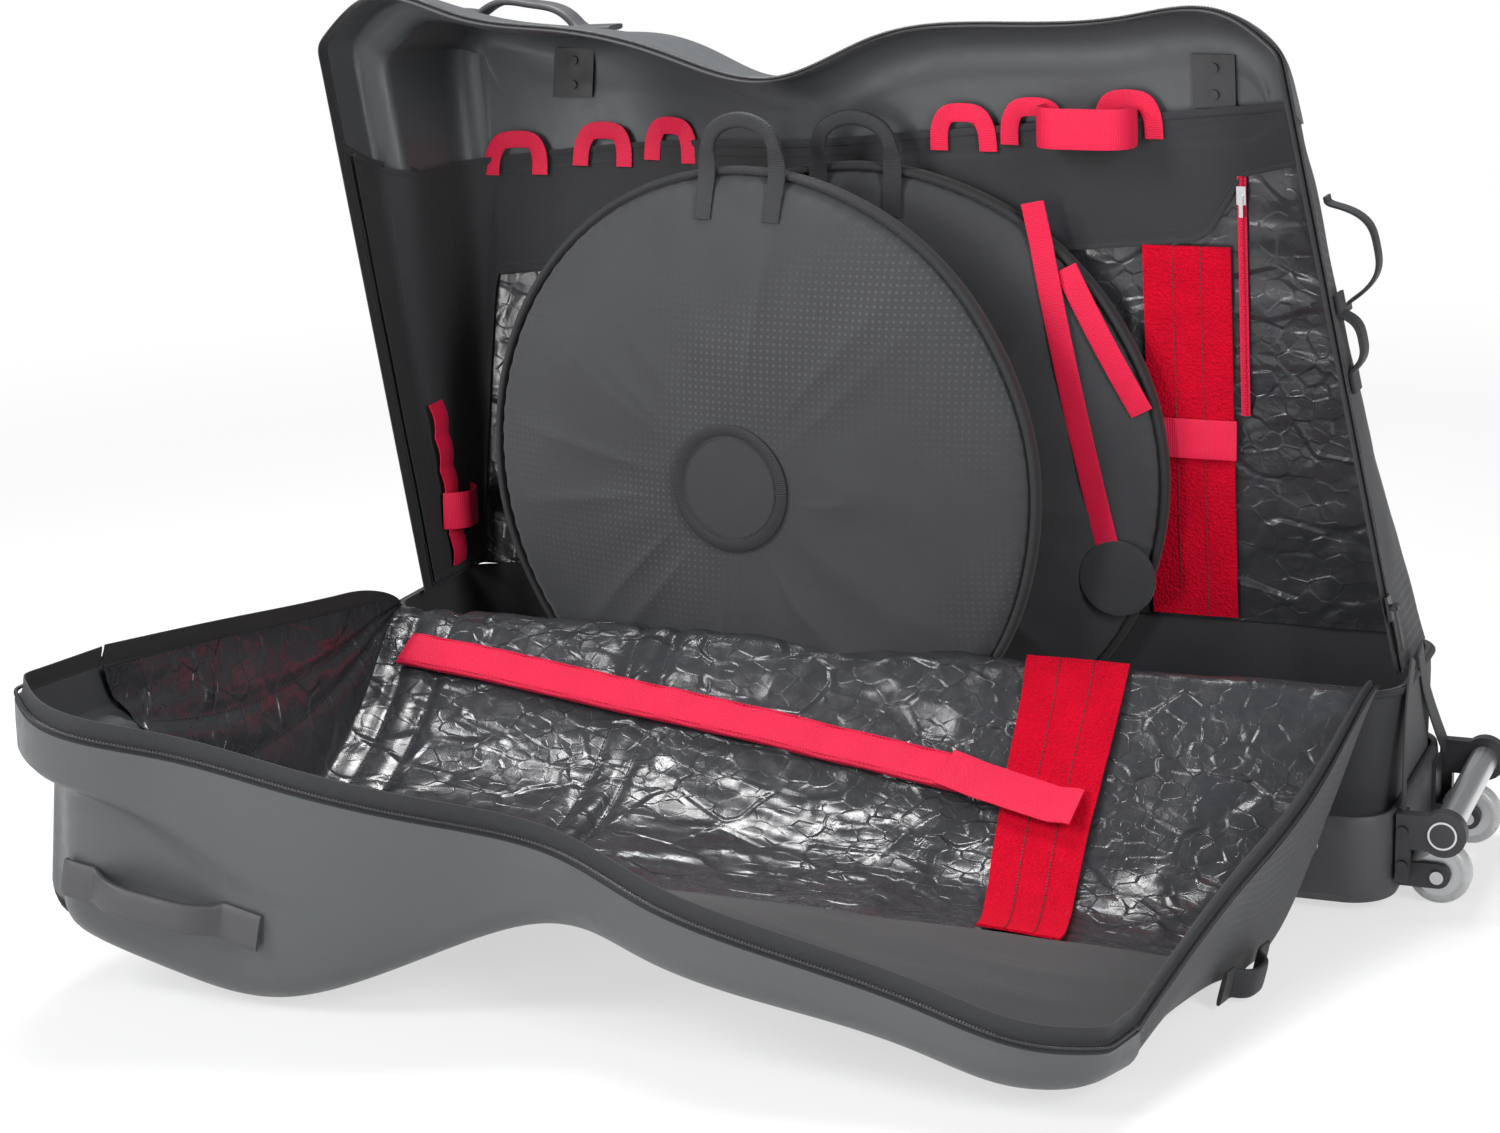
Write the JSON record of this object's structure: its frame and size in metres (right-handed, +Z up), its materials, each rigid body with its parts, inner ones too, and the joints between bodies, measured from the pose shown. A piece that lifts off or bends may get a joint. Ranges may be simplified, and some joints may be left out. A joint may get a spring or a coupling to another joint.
{
  "type": "bike travel case",
  "caption": "Bike travel case, standing open: humped hard-top shell with soft padded sides, hinged lid, padded wheel bags, red webbing, grab tube and rollers at one end.",
  "frame": {"origin": "on the floor under the middle of the zip's plane, in the sole of the skid", "axes": "+X along the case towards the rollers, +Y from the lid to the back, +Z up"},
  "size_m": [1.3368, 1.0336, 0.8974],
  "materials": {
    "shell": "satin moulded shell",
    "panel_cloth": "padded woven nylon",
    "zip_tape": "woven zip tape",
    "zip_teeth": "moulded coil",
    "flap_cloth": "matte facing cloth",
    "lining": "coated glossy lining",
    "red_loop_tape": "brushed loop tape",
    "red_webbing": "woven webbing",
    "black_webbing": "woven webbing",
    "strap_pad": "padded cloth disc",
    "pocket_zip": "coil zip",
    "handle_rubber": "moulded soft plastic",
    "fixings": "plated",
    "base_board": "extruded board",
    "boot": "moulded boot",
    "bracket": "glass-filled plastic",
    "tube": "brushed tube",
    "roller_tyre": "cast urethane",
    "roller_hub": "silver grey",
    "steel": "plated steel",
    "zip_pull": "moulded pull",
    "bag_cloth": "padded woven nylon",
    "bag_binding": "bound edge",
    "bag_patch": "reinforcing patch"
  },
  "bodies": {
    "case": {"axle_far": "steel", "axle_near": "steel", "back_flap": "flap_cloth", "back_handle": "handle_rubber", "back_lining": "lining", "back_loop_panel": "red_loop_tape", "back_panel": "panel_cloth", "back_plates": "fixings", "back_shell": "shell", "back_wrap_handles": "handle_rubber", "back_zip_tape": "zip_tape", "back_zip_teeth": "zip_teeth", "base_board": "base_board", "base_skid": "base_board", "base_tub": "panel_cloth", "bracket_bolts": "fixings", "bracket_far": "bracket", "bracket_near": "bracket", "daisy_chain": "red_webbing", "fork_far": "bracket", "fork_near": "bracket", "frame_straps": "red_webbing", "front_bag_binding": "bag_binding", "front_bag_handle": "black_webbing", "front_bag_hub_patch": "bag_patch", "front_bag_pad": "bag_cloth", "grab_tube": "tube", "pocket_zip_tape": "pocket_zip", "rear_bag_binding": "bag_binding", "rear_bag_handle": "black_webbing", "rear_bag_hub_patch": "bag_patch", "rear_bag_pad": "bag_cloth", "saddle_loop": "red_webbing", "strap_pad": "strap_pad", "strap_tabs": "red_webbing", "tube_plugs": "bracket", "webbing_handle": "black_webbing", "wheel_boot": "boot"},
    "lid": {"lid_shell": "shell", "lid_zip_tape": "zip_tape", "lid_zip_teeth": "zip_teeth", "lid_handle": "handle_rubber", "lid_wrap_handles": "handle_rubber", "lid_screws": "fixings", "lid_panel": "panel_cloth", "lid_lining": "lining", "lid_loop_panel": "red_loop_tape", "lid_sleeve": "red_webbing", "lid_side_tapes": "zip_tape", "lid_band": "flap_cloth", "lid_liner": "lining"},
    "roller_near": {"tyre_near": "roller_tyre", "hub_near": "roller_hub", "bearings_near": "steel"},
    "roller_far": {"tyre_far": "roller_tyre", "hub_far": "roller_hub", "bearings_far": "steel"},
    "zip_slider": {"zip_slider": "steel"},
    "zip_pull": {"zip_pull": "zip_pull"},
    "pocket_slider": {"pocket_zip_slider": "steel"}
  },
  "joints": [
    {"name": "lid_hinge", "type": "hinge", "parent": "case", "child": "lid", "pos_m": [0, -0.008, 0.157], "axis": [-0.9871, -0.1317, 0.0906], "range_deg": [0, 90], "deforming": ["lid_panel", "lid_lining", "lid_loop_panel", "lid_sleeve", "lid_side_tapes"]},
    {"name": "roller_near_spin", "type": "hinge", "parent": "case", "child": "roller_near", "pos_m": [0.637, -0.092, 0.033], "axis": [0, 1, 0], "continuous": true},
    {"name": "roller_far_spin", "type": "hinge", "parent": "case", "child": "roller_far", "pos_m": [0.637, 0.092, 0.033], "axis": [0, 1, 0], "continuous": true},
    {"name": "zip_slide", "type": "slide", "parent": "case", "child": "zip_slider", "axis": [-0.2091, 0, 0.9779], "range_m": [0, 0.3]},
    {"name": "zip_pull_swing", "type": "hinge", "parent": "zip_slider", "child": "zip_pull", "pos_m": [0.5664, 0, 0.28379], "axis": [0, -1, 0], "range_deg": [0, 120]},
    {"name": "pocket_zip_slide", "type": "slide", "parent": "case", "child": "pocket_slider", "axis": [0, -0.1151, 0.9934], "range_m": [-0.2, 0]}
  ]
}
